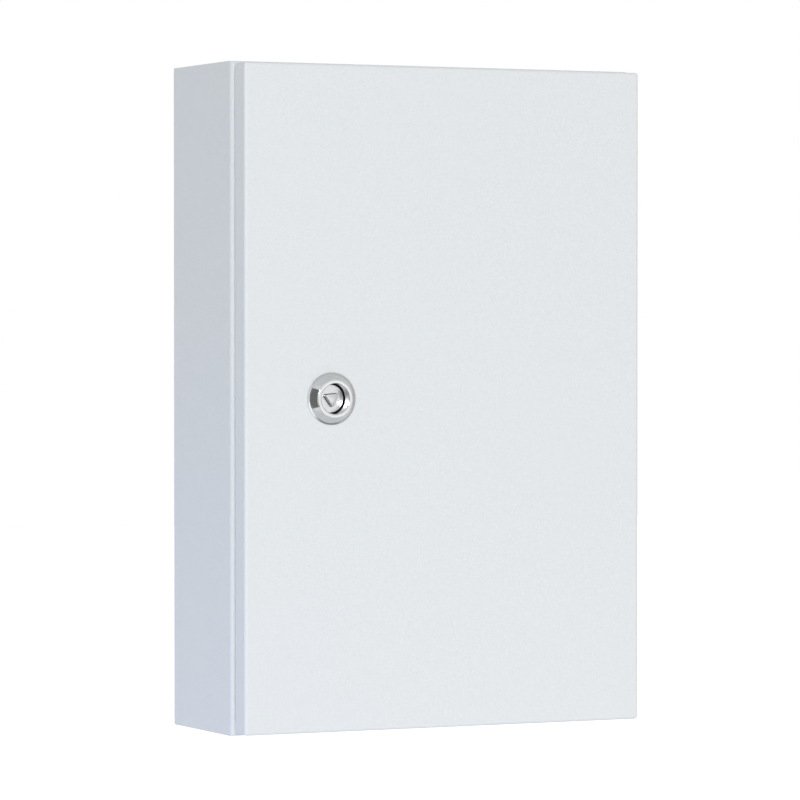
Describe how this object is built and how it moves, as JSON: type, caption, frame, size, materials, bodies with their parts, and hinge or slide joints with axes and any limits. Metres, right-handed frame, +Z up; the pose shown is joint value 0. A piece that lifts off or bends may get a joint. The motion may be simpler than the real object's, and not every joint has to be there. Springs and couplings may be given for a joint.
{
  "type": "steel wall enclosure",
  "caption": "Flat steel wall enclosure with a full-front hinged door, concealed hinges, a quarter-turn triangle lock, a mounting plate inside and a gland plate in the floor.",
  "frame": {"origin": "centre of the back, on the wall, in the middle of the four wall holes", "axes": "+X to the right as seen by a person facing the door, +Y into the wall, +Z up"},
  "size_m": [0.2, 0.0847, 0.3],
  "materials": {
    "powder_coat": "light grey fine-textured powder coat",
    "galvanised_plate": "galvanised, faint spangle",
    "hinge_steel": "zinc plated",
    "fastener_steel": "bright zinc plated",
    "earth_copper": "copper-flashed weld stud",
    "lock_chrome": "bright chrome plate",
    "foam_gasket": "matt foamed polyurethane",
    "black_rubber": "matt"
  },
  "bodies": {
    "enclosure": {"enclosure_body": "powder_coat", "upper_hinge_arm": "hinge_steel", "lower_hinge_arm": "hinge_steel", "mounting_plate": "galvanised_plate", "plate_studs": "fastener_steel", "plate_spacers": "fastener_steel", "plate_washers": "fastener_steel", "plate_nuts": "fastener_steel", "gland_plate": "galvanised_plate", "gland_gasket": "foam_gasket", "gland_studs": "fastener_steel", "gland_washers": "fastener_steel", "gland_nuts": "fastener_steel", "body_earth_stud": "earth_copper", "body_earth_washer": "fastener_steel", "body_earth_nut": "fastener_steel"},
    "door": {"door_panel": "powder_coat", "door_gasket": "foam_gasket", "upper_hinge_bracket": "hinge_steel", "lower_hinge_bracket": "hinge_steel", "upper_hinge_pin": "fastener_steel", "lower_hinge_pin": "fastener_steel", "door_earth_stud": "earth_copper", "door_earth_washer": "fastener_steel", "door_earth_nut": "fastener_steel", "lock_housing": "lock_chrome", "lock_seal": "black_rubber", "lock_nut": "fastener_steel"},
    "lock": {"lock_insert": "lock_chrome", "insert_o_ring": "black_rubber", "lock_stop_washer": "fastener_steel", "lock_cam": "fastener_steel", "cam_washer": "fastener_steel", "cam_screw": "fastener_steel"}
  },
  "joints": [
    {"name": "door_hinge", "type": "hinge", "parent": "enclosure", "child": "door", "pos_m": [0.0945, -0.07455, 0], "axis": [0, 0, 1], "range_deg": [0, 130]},
    {"name": "lock_turn", "type": "hinge", "parent": "door", "child": "lock", "pos_m": [-0.057, -0.08, 0], "axis": [0, 1, 0], "range_deg": [0, 90]}
  ]
}
